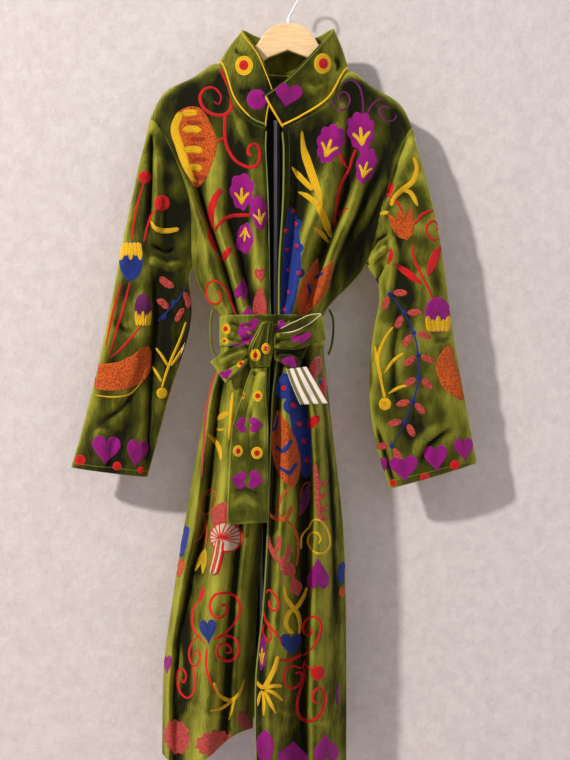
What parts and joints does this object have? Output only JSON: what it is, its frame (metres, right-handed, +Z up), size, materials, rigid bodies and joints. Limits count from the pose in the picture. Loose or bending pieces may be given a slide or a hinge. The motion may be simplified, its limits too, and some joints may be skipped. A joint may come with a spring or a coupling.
{
  "type": "suzani embroidered velvet coat on a wooden hanger",
  "caption": "Long flared velvet coat with stand collar, wide sleeves, tied belt and flower embroidery, hanging on a wooden hanger.",
  "frame": {"origin": "the inside top of the hanger's hook, where a rail or nail carries it", "axes": "+Z up, +X towards the wearer's left, +Y towards the coat's back"},
  "size_m": [0.6754, 0.1864, 1.3135],
  "materials": {
    "velvet": "olive green cotton velvet with a strong sheen",
    "striped_lining": "matt cotton with woven stripes",
    "wood": "pale lacquered wood",
    "steel": "bright steel wire"
  },
  "bodies": {
    "root": {"front_right": "velvet", "front_left": "velvet", "back": "velvet", "sleeve_right": "velvet", "sleeve_left": "velvet", "collar": "velvet", "lining_back": "striped_lining", "belt_wrap": "velvet", "belt_knot": "velvet", "belt_tail_long": "velvet", "belt_tail_root": "velvet", "belt_tail_short": "striped_lining", "belt_bow_right": "velvet", "belt_bow_left": "velvet", "belt_carrier_right": "velvet", "belt_carrier_left": "velvet", "hanger_body": "wood", "hanger_hook": "steel"}
  },
  "joints": []
}
